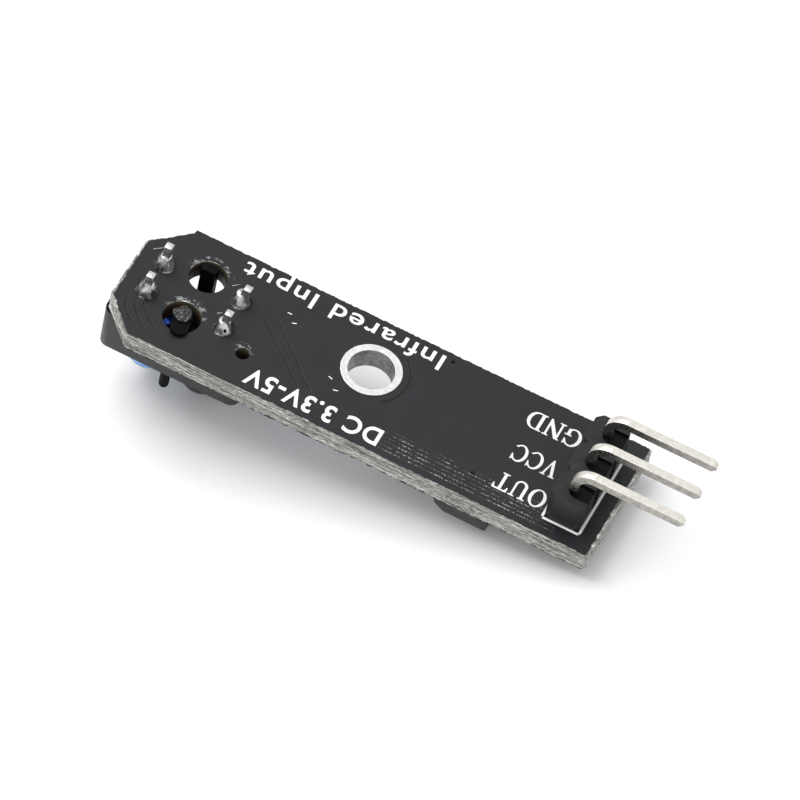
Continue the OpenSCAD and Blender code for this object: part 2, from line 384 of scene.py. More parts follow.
def moulded(name, colour, roughness, grain=0.08, depth=0.006, dust=0.0, shine=0.5, bare=0.70):
    """Moulded plastic: mottling and fine matt grain, its size and depth in mm.

    Dust is the strength of the pale specks, and the noise shows them above the bare share.
    """
    made = Finish(name)
    made.set(Specular_IOR_Level=shine)
    tone = made.grain(1.6 * MM, 5)
    skin = made.ramp(tone, (0.3, shade(colour, 0.75)), (0.7, shade(colour, 1.35)))
    if dust:
        specks = made.ramp(made.grain(0.12 * MM, 2), (bare, 0.0), (bare + 0.06, 1.0))
        skin = made.blend(made.maths("MULTIPLY", specks, dust), skin, (0.35, 0.35, 0.34))
    made.set(Base_Color=skin,
             Roughness=made.ramp(made.grain(0.5 * MM), (0.3, roughness - 0.08),
                                 (0.7, roughness + 0.08)))
    made.relief(made.grain(grain * MM, 3), depth * MM)
    return made.material


def metal(name, colour, roughness, tarnish, grain=0.05, depth=0.004, lines=None):
    """Plated metal: patchy tarnish and pitting, its size and depth in mm, stretched by lines."""
    made = Finish(name)
    patches = made.ramp(made.grain(0.35 * MM, 6, 0.7), (0.38, tarnish), (0.62, colour))
    made.set(Base_Color=patches, Metallic=1.0,
             Roughness=made.ramp(made.grain(0.16 * MM, 5), (0.3, roughness - 0.07),
                                 (0.72, roughness + 0.12)))
    place = made.stretched(*lines) if lines else None
    made.relief(made.grain(grain * MM, 4, 0.7, place), depth * MM)
    return made.material


def solder_finish(look):
    """Solder: bright skin with dark streaks that run down from the lead."""
    made = Finish("solder_skin")
    down = made.stretched(1.0, 1.0, 0.3)
    bright = look.solder_colour
    streaks = made.ramp(made.grain(0.55 * MM, 4, 0.6, down), (0.36, shade(bright, 0.12)),
                        (0.50, shade(bright, 0.6)), (0.60, bright))
    made.set(Base_Color=streaks, Metallic=1.0,
             Roughness=made.ramp(made.grain(0.2 * MM, 4), (0.3, 0.16), (0.7, 0.34)))
    made.relief(made.grain(0.22 * MM, 4, 0.65, down), 0.02 * MM)
    return made.material


def mask_finish(look):
    """Black solder mask: satin skin, dust, and rows of painted glints (bright flecks of painted
    highlight) where traces run.
    """
    made = Finish("solder_mask")
    tone = made.ramp(made.grain(2.2 * MM, 5), (0.3, look.mask_colour),
                     (0.75, shade(look.mask_colour, 1.6)))
    x, y = made.axis("X"), made.axis("Y")
    specks = made.ramp(made.grain(0.13 * MM, 2), (0.735, 0.0), (0.77, 1.0))
    few = made.maths("MULTIPLY", specks, 0.22)
    # Painted glints: bright flecks of painted highlight along the traces of the near edge, which run
    # beside one another
    wave = made.maths("PINGPONG", made.maths("ADD", y, 40 * MM), 0.16 * MM)
    rows = made.maths("GREATER_THAN", wave, 0.11 * MM)
    band = made.within(y, -5.45 * MM, -3.75 * MM, 0.1 * MM)
    run = made.within(x, 4.2 * MM, 14.4 * MM, 1.5 * MM)
    painted_glint_noise = made.ramp(made.grain(0.09 * MM, 2, 0.5, made.stretched(0.6, 1, 1)),
                      (0.50, 0.0), (0.60, 1.0))
    patchy = made.ramp(made.grain(1.4 * MM, 2), (0.42, 0.15), (0.6, 1.0))
    painted_trace_glints = made.maths("MULTIPLY", rows, band, run, painted_glint_noise, patchy, 0.6)
    share = made.maths("MAXIMUM", few, painted_trace_glints)
    # Pale marks round the far rims of the holes
    rough = made.ramp(made.grain(0.42 * MM, 6, 0.75), (0.53, 0.0), (0.60, 1.0))
    for centre, radius in DRILLED:
        away = made.add("ShaderNodeVectorMath", operation="DISTANCE")
        made.feed(away.inputs[0], made.place)
        away.inputs[1].default_value = centre
        rim = made.within(away.outputs["Value"], radius, radius + 0.26 * MM, 0.22 * MM)
        far = made.within(y, centre.y + radius * 0.55, 0.1, radius * 0.3)
        share = made.maths("MAXIMUM", share, made.maths("MULTIPLY", rim, far, rough, 0.45))
    # The pale colour takes the dust specks, the painted glints on the traces and the pale rim marks
    made.set(Base_Color=made.blend(share, tone, (0.62, 0.62, 0.62)), Specular_IOR_Level=0.38,
             Roughness=made.ramp(made.grain(0.9 * MM), (0.3, look.mask_roughness - 0.05),
                                 (0.7, look.mask_roughness + 0.06)))
    skin = made.relief(made.grain(0.22 * MM, 3), 0.0035 * MM)
    made.relief(made.maths("MULTIPLY", rows, band, run), 0.02 * MM, skin)
    return made.material


def laminate_finish(look):
    """Sawn glass-fibre laminate: pale and dark strands in thin layers along the cut."""
    made = Finish("laminate")
    layers = made.grain(0.07 * MM, 6, 0.72, made.stretched(0.03, 0.03, 1.0), 0.15)
    fine = made.grain(0.05 * MM, 4, 0.7, made.stretched(0.12, 0.12, 1.0))
    strands = made.maths("ADD", made.maths("MULTIPLY", layers, 0.6), made.maths("MULTIPLY", fine, 0.4))
    colour = made.ramp(strands, (0.36, (0.02, 0.02, 0.018)), (0.45, look.laminate_dark),
                       (0.51, look.laminate_colour), (0.59, look.laminate_pale))
    made.set(Base_Color=colour, Roughness=0.62)
    made.relief(strands, 0.035 * MM)
    return made.material


def shaded_hole_wall_finish(_look):
    """Drilled wall of a hole, resin stained amber and olive, and darkened to near black as painted
    shade inside the holes.
    """
    made = Finish("drilled_wall")
    tone = made.grain(0.1 * MM, 5, 0.7, made.stretched(0.5, 0.5, 1.0))
    side = made.ramp(made.grain(1.8 * MM, 1), (0.42, (0.045, 0.022, 0.008)),
                     (0.58, (0.022, 0.022, 0.007)))
    made.set(Base_Color=made.blend(made.ramp(tone, (0.35, 0.0), (0.7, 0.7)), side,
                                   (0.010, 0.008, 0.005)), Roughness=0.5)
    made.relief(tone, 0.02 * MM)
    return made.material


def ink_finish(look):
    """White legend ink, slightly chalky and thin in places."""
    made = Finish("legend_ink")
    chalk = made.ramp(made.grain(0.16 * MM, 4), (0.28, shade(look.ink_colour, 0.72)),
                      (0.45, look.ink_colour))
    made.set(Base_Color=chalk, Roughness=0.55)
    made.relief(made.grain(0.07 * MM, 3), 0.006 * MM)
    return made.material


def resin_finish(name, colour, clear, roughness=0.06, root_painted_shade=None):
    """Cast lamp resin, tinted and clear or nearly black, with a deeper tint towards the root as
    painted shade inside the housing.
    """
    made = Finish(name)
    cloud = made.ramp(made.grain(1.2 * MM, 2), (0.3, shade(colour, 0.9)), (0.7, colour))
    if root_painted_shade:
        # Painted shade: the resin deepens towards the root, inside the housing
        near = made.within(made.axis("Z"), UNDERSIDE - 3.6 * MM, 0.0, 0.8 * MM)
        cloud = made.blend(near, cloud, root_painted_shade)
    made.set(Base_Color=cloud, Roughness=roughness, IOR=1.5, Transmission_Weight=clear)
    return made.material


FINISHES = {}
# Plastics: material name, colour, roughness, size and depth of the grain in mm, strength of
# the dust, specular level, and share of the surface that is bare of dust
PLASTICS = {
    # flux: near-black finish for the solder pits, painted shade
    "flux": ("burnt_flux", (0.008, 0.007, 0.006), 0.5, 0.08, 0.006, 0.0, 0.2),
    "insulator": ("insulator_nylon", (0.010, 0.010, 0.0115), 0.50, 0.16, 0.014, 0.3, 0.4),
    # groove: a darker copy of the mask for the groove walls, painted shade in the grooves
    "groove": ("mask_groove", (0.0045, 0.0048, 0.0056), 0.5, 0.08, 0.006, 0.0, 0.3),
    # recess: a darker copy of the insulator plastic, painted shade for the bend slots and the block's
    # +X side
    "recess": ("insulator_recess", (0.004, 0.004, 0.0045), 0.38, 0.2, 0.01, 0.0, 0.12),
    "housing": ("housing_skin", (0.017, 0.017, 0.0185), 0.42, 0.12, 0.008, 0.2),
    # peg: a much darker copy of the housing plastic for the pegs and feet, painted shade
    "peg": ("peg_skin", (0.0035, 0.0035, 0.004), 0.55, 0.12, 0.01, 0.05, 0.06),
    "frosted": ("melted_peg_top", (0.016, 0.016, 0.018), 0.45, 0.24, 0.16, 0.75, 0.4, 0.57),
    "chip": ("chip_moulding", (0.020, 0.020, 0.021), 0.55, 0.07, 0.010),
    "trimmer": ("trimmer_skin", (0.02, 0.10, 0.42), 0.42),
    "glaze": ("black_glaze", (0.012, 0.012, 0.013), 0.22),
    "ceramic": ("tan_ceramic", (0.36, 0.225, 0.12), 0.5),
}
# Metals: material name, colour, roughness, tarnish, size and depth of the pitting in mm
METALS = {
    # leg: dark metal for the pin legs by the block, painted shade and painted reflection of the black
    # block
    "leg": ("pin_leg", (0.10, 0.095, 0.085), 0.4, (0.05, 0.045, 0.04)),
    "tin": ("tin_plate_skin", (0.78, 0.77, 0.76), 0.30, (0.60, 0.58, 0.56), 0.08, 0.01),
    "gold": ("gold_skin", (0.83, 0.62, 0.30), 0.28, (0.6, 0.42, 0.2)),
    "steel": ("rotor_skin", (0.76, 0.74, 0.70), 0.33, (0.6, 0.58, 0.54), 0.12, 0.008),
}
# Metals in a colour that the user sets: material name, brightness, roughness, brightness of
# the tarnish, and the size, depth and stretch of the pitting
RING_METALS = {
    "ring": ("tinned_ring", 1.0, 0.36, 0.84, 0.10, 0.02),
    # barrel: a darker, rougher copy of the ring's tin, painted shade inside the hole
    "barrel": ("tinned_barrel", 0.62, 0.42, 0.36, 0.16, 0.03, (1.0, 1.0, 0.15)),
}
PIN_METALS = {
    "pin": ("pin_plating", 1.0, 0.32, 0.86, 0.08, 0.02, (0.5, 1.0, 1.0)),
    # side: a darker copy of the pin plating for the faces that face ±Y, painted shade on the pin's
    # sides
    "side": ("pin_flank", 0.55, 0.26, 0.36, 0.08, 0.012, (0.3, 1.0, 1.0)),
}
SPECIAL = {"mask": mask_finish, "laminate": laminate_finish, "hole_wall": shaded_hole_wall_finish,
           "ink": ink_finish, "solder": solder_finish}


def make_finish(name, look):
    """One of the module's materials, from the tables above or the lamps' resins."""
    for table, colour in ((RING_METALS, look.ring_colour), (PIN_METALS, look.pin_colour)):
        if name in table:
            label, bright, roughness, tarnish, *pitting = table[name]
            return metal(label, shade(colour, bright), roughness, shade(colour, tarnish),
                         *pitting)
    if name in METALS:
        return metal(*METALS[name])
    if name in PLASTICS:
        return moulded(*PLASTICS[name])
    if name in SPECIAL:
        return SPECIAL[name](look)
    # The last colour of the blue resin is its painted shade at the root
    resins = {"blue": ("clear_blue", look.lamp_colour, 0.9, 0.06, (0.008, 0.022, 0.19)),
              "black": ("smoked_black", (0.010, 0.010, 0.013), 0.0, 0.12),
              "pale": ("pale_resin", (0.85, 0.88, 0.80), 0.6, 0.2)}
    return resin_finish(*resins[name])


def finish(name):
    """The materials of the module, each made once, on first use."""
    if name not in FINISHES:
        FINISHES[name] = make_finish(name, bpy.context.scene.module_looks)
    return FINISHES[name]


# ------------------------------------------------------------------ settings

def colour_setting(name, description, default):
    return FloatVectorProperty(name=name, description=description, default=default, size=3,
                               min=0, max=1, subtype="COLOR")


def length_setting(name, description, default):
    return FloatProperty(name=name, description=description, default=default, min=0,
                         subtype="DISTANCE", unit="LENGTH")


class ModuleLooks(bpy.types.PropertyGroup):
    """Colours and gloss of the module's finishes."""
    mask_colour: colour_setting("Mask", "Solder mask on both sides", (0.0065, 0.0072, 0.0088))
    mask_roughness: FloatProperty(name="Mask roughness", description="Gloss of the mask",
                                  default=0.42, min=0, max=1, subtype="FACTOR")
    laminate_colour: colour_setting("Laminate", "Glass fibre at the edge", (0.27, 0.26, 0.235))
    laminate_dark: colour_setting("Laminate, dark", "Gaps between strands", (0.10, 0.10, 0.09))
    laminate_pale: colour_setting("Laminate, pale", "Bright strands", (0.80, 0.80, 0.77))
    ink_colour: colour_setting("Ink", "Printed legend", (0.86, 0.86, 0.86))
    ring_colour: colour_setting("Hole ring", "Tinned ring and hole", (0.84, 0.835, 0.83))
    pin_colour: colour_setting("Pins", "Plating of the pins", (0.84, 0.81, 0.74))
    solder_colour: colour_setting("Solder", "Solder on the leads", (0.74, 0.74, 0.75))
    lamp_colour: colour_setting("Emitter", "Clear blue resin", (0.20, 0.46, 0.95))


class BoardSizes(bpy.types.PropertyGroup):
    """Sizes of the board's surface detail."""
    mask_thickness: length_setting("Mask thickness", "Thickness of mask and copper",
                                   0.05 * MM)
    mask_gap: length_setting("Mask gap", "Bare strip at both ends of the board", 0.15 * MM)
    fray_depth: length_setting("Fray", "Depth of the wear on the sawn edge", 0.07 * MM)
    fray_step: length_setting("Fray step", "Spacing of the points on the sawn edge", 0.12 * MM)
    ink_thickness: length_setting("Ink thickness", "Height of the legend", 0.014 * MM)
    line_width: length_setting("Outline width", "Width of the printed outline", 0.17 * MM)


class LegendWords(bpy.types.PropertyGroup):
    """Words printed on the label side."""
    far_line: StringProperty(name="Far line", description="Words along the far edge",
                             default="Infrared Input")
    near_line: StringProperty(name="Near line", description="Words along the near edge",
                              default="DC 3.3V-5V")


class StageSettings(bpy.types.PropertyGroup):
    """Floor, lights and camera."""
    floor_radius: length_setting("Floor radius", "Radius of the pale floor", 0.085)
    floor_colour: colour_setting("Floor", "Colour of the floor", (0.90, 0.90, 0.90))
    key_power: FloatProperty(name="Key light", description="Power of the large soft light, W",
                             default=1.35, min=0)
    fill_power: FloatProperty(name="Fill light", description="Power of the side light, W",
                              default=0.12, min=0)
    ambient: FloatProperty(name="Ambient", description="Strength of the light all round",
                           default=0.86, min=0)
    lens: FloatProperty(name="Lens", description="Focal length in mm", default=360, min=20)
    camera_place: FloatVectorProperty(name="Camera", description="Place of the camera",
                                      default=(0.08372, -0.30120, 0.41263), size=3,
                                      subtype="XYZ", unit="LENGTH", precision=5)
    camera_turn: FloatVectorProperty(name="Camera turn", description="Rotation of the camera",
                                     default=(math.radians(36.201), math.radians(-8.171),
                                              math.radians(26.110)), size=3, subtype="EULER")


# ------------------------------------------------------------------ board

# Gaps beside the traces: two slanting ones, three bent ones at the cut corner, and the
# clearance round the ring of the mounting hole
GROOVES = [
    [(-7.75, -0.02), (-3.2, -3.98)],
    [(-6.95, 0.40), (-2.5, -3.78)],
    [(-16.2, -3.5), (-16.0, -3.95), (-15.4, -4.55), (-14.75, -4.98)],
    [(-15.65, -3.3), (-15.4, -3.7), (-14.75, -4.35), (-14.1, -4.9)],
    [(-15.1, -3.05), (-14.85, -3.4), (-14.1, -4.1), (-13.45, -4.6)],
    [(2.6 * math.cos(math.radians(a)), 2.6 * math.sin(math.radians(a)))
     for a in range(-50, 63, 14)],
]


def slab(piece, low, high, gap=0.0):
    """Make the board's outline a layer between two heights, short of both its ends by a gap."""
    for vertex in piece.data.vertices:
        point = vertex.co
        point.z = high if point.z > UNDERSIDE / 2 else low
        point.x = min(max(point.x, BOARD_LOW.x + gap), BOARD_HIGH.x - gap)
    return piece


def recap(piece):
    """Fill the flat top and bottom of a slab afresh, round its holes."""
    # The fill has a fixed tolerance that is coarse for metres, so it works in millimetres
    piece.data.transform(Matrix.Scale(1 / MM, 4))
    heights = [v.co.z for v in piece.data.vertices]
    open_mesh(piece)
    pick(piece, "faces", lambda f: abs(f.normal.z) > STEEP)
    bpy.ops.mesh.delete(type="FACE")
    for level in (max(heights), min(heights)):
        pick(piece, "edges", lambda e: all(abs(v.co.z - level) < 1e-4 for v in e.verts))
        bpy.ops.mesh.fill()
    bpy.ops.mesh.select_all(action="SELECT")
    bpy.ops.mesh.normals_make_consistent(inside=False)
    close_mesh()
    piece.data.transform(Matrix.Scale(MM, 4))
    return piece


def fray(piece, step, layers, depth, seed, grain):
    """Split the outside edge into small faces and wear it back unevenly.

    The wear follows the grain, and is five times finer through the layers than along them.
    """
    open_mesh(piece)
    while True:
        mesh = bmesh.from_edit_mesh(piece.data)
        mesh.normal_update()
        rims = {e for f in outer_wall(mesh) for e in f.edges
                if abs((e.verts[0].co - e.verts[1].co).z) < 1e-7 and e.calc_length() > step}
        if not pick(piece, "edges", lambda e: e in rims):
            break
        bpy.ops.mesh.subdivide(number_cuts=1)
    mesh = bmesh.from_edit_mesh(piece.data)
    wall = outer_wall(mesh)
    posts = {e for f in wall for e in f.edges
             if abs((e.verts[0].co - e.verts[1].co).normalized().z) > STEEP}
    if layers > 1:
        pick(piece, "edges", lambda e: e in posts)
        bpy.ops.mesh.subdivide(number_cuts=layers - 1)
    mesh = bmesh.from_edit_mesh(piece.data)
    mesh.normal_update()
    wall = outer_wall(mesh)
    moves = {}
    for vert in {v for f in wall for v in f.verts}:
        out = sum((f.normal for f in vert.link_faces if f in wall), Vector())
        out.z = 0
        point = Vector((vert.co.x, vert.co.y, vert.co.z * 5)) / grain
        hollow = abs(noise.noise(point + Vector((seed, 0, 0))))
        moves[vert] = out.normalized() * -depth * min(1.0, hollow * 1.8)
    for vert, move in moves.items():
        vert.co += move
    bmesh.update_edit_mesh(piece.data)
    close_mesh()
    return piece


def chip_rims(piece, depth, seed):
    """Wear back the far rims of the drilled holes, so that the laminate below shows.

    The wear is greatest where the rim faces the drill's exit side, and fades round from there.
    """
    for vertex in piece.data.vertices:
        for centre, radius in DRILLED:
            away = Vector((vertex.co.x - centre.x, vertex.co.y - centre.y, 0))
            if abs(away.length - radius) < 0.02 * MM:
                far = away.normalized().dot(Vector((-0.35, 0.94, 0)))
                if far > 0.35:
                    rough = 0.55 + unevenness(vertex.co * Vector((1, 1, 0)), 0.11 * MM, seed)
                    vertex.co += away.normalized() * depth * max(0, rough) * (far - 0.2)
    return piece


def outline_box(low, high, width, level, ink):
    """Four printed lines round a rectangle, corners overlapped."""
    half = width / 2
    corners = [(low[0], low[1]), (high[0], low[1]), (high[0], high[1]), (low[0], high[1])]
    bars = []
    for (x0, y0), (x1, y1) in zip(corners, corners[1:] + corners[:1]):
        step = Vector((x1 - x0, y1 - y0, 0)).normalized() * half
        bars.append(rod(Vector((x0, y0, level)) - step, Vector((x1, y1, level)) + step * 0.98,
                        half, ink / 2))
    return bars


# Wear of the sawn edges: layers that the core's edge is split in, size of the wear's features
# on the core and on the mask, depth of the mask's wear there and at the drilled rims
CORE_LAYERS, CORE_GRAIN = 14, 0.42 * MM
MASK_GRAIN, MASK_FRAY, RIM_WEAR = 0.5 * MM, 0.09 * MM, 0.2 * MM
GROOVE_HALF_WIDTH, GROOVE_HALF_DEPTH = 0.10 * MM, 0.042 * MM
GROOVE_RISE = 0.012 * MM


class MODULE_OT_board(bpy.types.Operator):
    """Board: laminate core, mask on both sides, plated hole and loose fibres"""
    bl_idname = "line_sensor.board"
    bl_label = "Board"

    def execute(self, context):
        sizes = context.scene.board_sizes
        thick = sizes.mask_thickness
        core = slab(merged_copy("circuit_board", "board_core"), UNDERSIDE + thick, -thick)
        fray(core, sizes.fray_step, CORE_LAYERS, sizes.fray_depth, 3.0, CORE_GRAIN)
        recap(core)
        open_mesh(core)
        mesh = bmesh.from_edit_mesh(core.data)
        mesh.normal_update()
        wall = outer_wall(mesh)
        # Hole walls take the near-black drilled wall finish: painted shade inside the holes
        for face in mesh.faces:
            face.material_index = int(abs(face.normal.z) < 0.3 and face not in wall)
        bmesh.update_edit_mesh(core.data)
        close_mesh()
        settle(coat(core, "laminate", "hole_wall"), "board_laminate", "circuit_board")

        for name, low, high, seed in (("mask_label_side", -thick, 0.0, 11.0),
                                      ("mask_underside", UNDERSIDE, UNDERSIDE + thick, 17.0)):
            mask = slab(merged_copy("circuit_board", name), low, high, sizes.mask_gap)
            fray(mask, sizes.fray_step, 1, MASK_FRAY, seed, MASK_GRAIN)
            coat(recap(chip_rims(mask, RIM_WEAR, seed)), "mask")
            if name == "mask_label_side":
                tools = []
                for route in GROOVES:
                    points = [Vector((x * MM, y * MM, GROOVE_RISE)) for x, y in route]
                    tools += [rod(start, end, GROOVE_HALF_WIDTH, GROOVE_HALF_DEPTH, flat=False)
                              for start, end in zip(points, points[1:])]
                # The cut faces of the grooves take the darker mask copy: painted shade
                cut(mask, coat(join("groove_tool", tools), "groove"), crossing=True)
            settle(mask, "board_laminate")

        ring = merged_copy("hole_plating", "hole_ring")
        ease(ring, 0.035 * MM, 3)
        wear(ring, 0.02 * MM, 0.25 * MM, 5.0, lambda p: p.z > 0, Vector((1, 1, 0.4)))
        barrel_radius = 1.585 * MM
        # The barrel's faces take the darker tin: painted shade inside the hole
        for face in ring.data.polygons:
            away = (face.center - HOLE_CENTRE) * Vector((1, 1, 0))
            if away.length < barrel_radius and abs(face.normal.z) < 0.5:
                face.material_index = 1
        settle(coat(ring, "ring", "barrel"), "tin_plate", "hole_plating")

        # Loose strands that the saw left hanging at the near edge
        edge = BOARD_LOW.y
        strands = []
        for i in range(9):
            x = (0.2 + 0.11 * i) * MM
            tip = Vector((x + (0.25 - 0.07 * i) * MM, edge + 0.03 * MM,
                          UNDERSIDE - (0.12 + 0.07 * (i % 3)) * MM))
            strands.append(rod((x, edge + 0.10 * MM, UNDERSIDE + 0.25 * MM), tip, 0.035 * MM,
                               0.03 * MM, sides=6, taper=0.4))
        for i in range(4):
            x = (8.3 + 0.3 * i) * MM
            strands.append(rod((x, edge + 0.07 * MM, UNDERSIDE + (0.35 - 0.05 * i) * MM),
                               (x + 0.9 * MM, edge + 0.035 * MM,
                                UNDERSIDE + (0.22 - 0.06 * i) * MM),
                               0.03 * MM, 0.03 * MM, sides=6, taper=0.4))
        settle(coat(join("edge_strands", strands), "laminate"), "board_laminate")
        return {"FINISHED"}


# ------------------------------------------------------------------ legend

def bend(cx, cy, rx, ry, start, stop, count=18):
    """Points on an ellipse from one angle to another, in degrees."""
    angles = [math.radians(start + (stop - start) * i / count) for i in range(count + 1)]
    return [(cx + rx * math.cos(a), cy + ry * math.sin(a)) for a in angles]


# Outlines of the printed capitals, drawn one unit high. The first outline is the letter and
# the second is the hole in it.
CAPITALS = {
    "V": [[(-.02, 1), (.32, 1), (.32, .95), (.24, .92), (.44, .27), (.59, .92), (.52, .95),
           (.52, 1), (.80, 1), (.80, .95), (.70, .92), (.43, 0), (.36, 0), (.07, .92),
           (-.02, .95)]],
    "T": [[(0, 1), (.76, 1), (.77, .72), (.72, .72), (.65, .91), (.46, .93), (.46, .08),
           (.57, .05), (.57, 0), (.20, 0), (.20, .05), (.31, .08), (.31, .93), (.12, .91),
           (.05, .72), (0, .72)]],
    "N": [[(0, 1), (.25, 1), (.67, .34), (.67, .92), (.57, .95), (.57, 1), (.88, 1),
           (.88, .95), (.77, .92), (.77, 0), (.69, 0), (.19, .76), (.19, .08), (.30, .05),
           (.30, 0), (-.02, 0), (-.02, .05), (.09, .08), (.09, .92), (0, .95)]],
    "U": [[(-.02, 1), (.34, 1), (.34, .95), (.25, .92), *bend(.44, .30, .19, .22, 180, 360),
           (.63, .92), (.53, .95), (.53, 1), (.84, 1), (.84, .95), (.73, .92),
           *bend(.415, .28, .315, .29, 0, -180), (.10, .92), (-.02, .95)]],
    "D": [[(-.02, 1), *bend(.40, .5, .44, .5, 90, -90), (-.02, 0), (-.02, .05), (.09, .08),
           (.09, .92), (-.02, .95)],
          [(.25, .93), *bend(.38, .5, .29, .43, 90, -90), (.25, .07)]],
    "O": [bend(.43, .5, .43, .52, 0, 340, 34), bend(.43, .5, .26, .45, 0, 340, 34)],
    "C": [[(.80, 1), (.80, .64), (.75, .64), *bend(.46, .5, .29, .44, 38, 318, 30),
           (.82, .17), *bend(.43, .5, .43, .52, 312, 62, 30), (.75, .92), (.76, 1)]],
    "G": [[(.80, 1), (.80, .66), (.75, .66), *bend(.46, .5, .29, .44, 38, 300, 30),
           (.62, .14), (.62, .38), (.52, .41), (.52, .46), (.88, .46), (.88, .41), (.78, .38),
           (.78, .08), *bend(.43, .5, .43, .52, 300, 62, 30), (.75, .92), (.76, 1)]],
}


def drawn_word(word):
    """Serif capitals side by side, as flat outlines made into a mesh."""
    curve = bpy.data.curves.new(word, "CURVE")
    curve.dimensions, curve.fill_mode, curve.extrude = "2D", "BOTH", 0.5
    shift = 0.0
    for letter in word:
        outlines = CAPITALS[letter]
        for outline in outlines:
            line = curve.splines.new("POLY")
            line.points.add(len(outline) - 1)
            for point, (x, y) in zip(line.points, outline):
                point.co = (x + shift, y, 0, 1)
            line.use_cyclic_u = True
        shift += max(x for x, _ in outlines[0]) + 0.09
    return curve


def lettering(name, word, weight, centre, length, height, ink):
    """A printed word that reads towards -X, set to a length and height at a centre.

    The weight thickens the plain letters. Without one the word is set in serif capitals.
    """
    clear_selection()
    if not weight:
        piece = bpy.data.objects.new(name, drawn_word(word))
        bpy.context.scene.collection.objects.link(piece)
    else:
        bpy.ops.object.text_add()
        piece = bpy.context.object
        piece.data.body, piece.data.extrude, piece.data.offset = word, 0.5, weight
        piece.data.resolution_u, piece.data.space_character = 5, 1.12
        piece.name = name
    hold(piece)
    bpy.ops.object.convert(target="MESH")
    piece = bpy.context.object
    open_mesh(piece)
    bpy.ops.mesh.remove_doubles(threshold=1e-5)
    bpy.ops.mesh.normals_make_consistent(inside=False)
    close_mesh()
    xs, ys = [v.co.x for v in piece.data.vertices], [v.co.y for v in piece.data.vertices]
    capital = max(ys)
    middle = Vector(((min(xs) + max(xs)) / 2, capital / 2, 0))
    size = Matrix.Diagonal((length / (max(xs) - min(xs)), height / capital, ink, 1))
    turn = Matrix.Rotation(math.pi, 4, "Z")
    place = Matrix.Translation((centre[0], centre[1], ink / 2))
    piece.data.transform(place @ turn @ size @ Matrix.Translation(-middle))
    piece.name = name
    return piece


class MODULE_OT_legend(bpy.types.Operator):
    """Legend: pin labels, two lines of words and the outline of the connector"""
    bl_idname = "line_sensor.legend"
    bl_label = "Legend"

    def execute(self, context):
        words, sizes = context.scene.legend_words, context.scene.board_sizes
        ink = sizes.ink_thickness
        rows = [(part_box(f"pin_{n}")[0].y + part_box(f"pin_{n}")[1].y) / 2
                for n in ("ground", "supply", "output")]
        block_low, block_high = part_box("pin_block")
        lines = [
            ("label_ground", "GND", 0, 12.27, rows[0] / MM + 0.43, 3.81, 1.45),
            ("label_supply", "VCC", 0, 12.30, rows[1] / MM + 0.04, 3.20, 1.42),
            ("label_output", "OUT", 0, 12.46, rows[2] / MM - 0.03, 3.58, 1.45),
            ("legend_far_line", words.far_line, 0.010, -3.52, 2.94, 14.5, 1.30),
            ("legend_near_line", words.near_line, 0.024, -1.95, -4.66, 9.7, 1.36),
        ]
        for name, word, weight, x, y, length, height in lines:
            piece = lettering(name, word, weight, (x * MM, y * MM), length * MM, height * MM, ink)
            settle(coat(piece, "ink"), "board_laminate")
        half = sizes.line_width / 2
        box = outline_box((block_low.x - half, block_low.y + half),
                          (block_high.x + half, block_high.y - half), sizes.line_width,
                          ink / 2, ink)
        settle(coat(join("legend_outline", box), "ink"), "board_laminate")
        # Short printed ticks beside the traces
        ticks = [((-2.15, -1.93), (-1.86, -2.02)), ((-1.45, -2.76), (-1.12, -2.66)),
                 ((-6.72, 1.24), (-6.42, 1.24)), ((-6.1, 0.62), (-5.82, 0.74))]
        bars = strips(ticks, ink / 2, 0.035 * MM, ink / 2)
        settle(coat(join("legend_ticks", bars), "ink"), "board_laminate")
        return {"FINISHED"}


# ------------------------------------------------------------------ connector

# The slot at each bend: radius, depth, distance from the pin's back to its middle, and reach
SLOT_RADIUS, SLOT_DEPTH, SLOT_PLACE, SLOT_REACH = 0.64 * MM, 0.25 * MM, 0.62 * MM, 1.6 * MM
END_SETBACK = 0.18 * MM


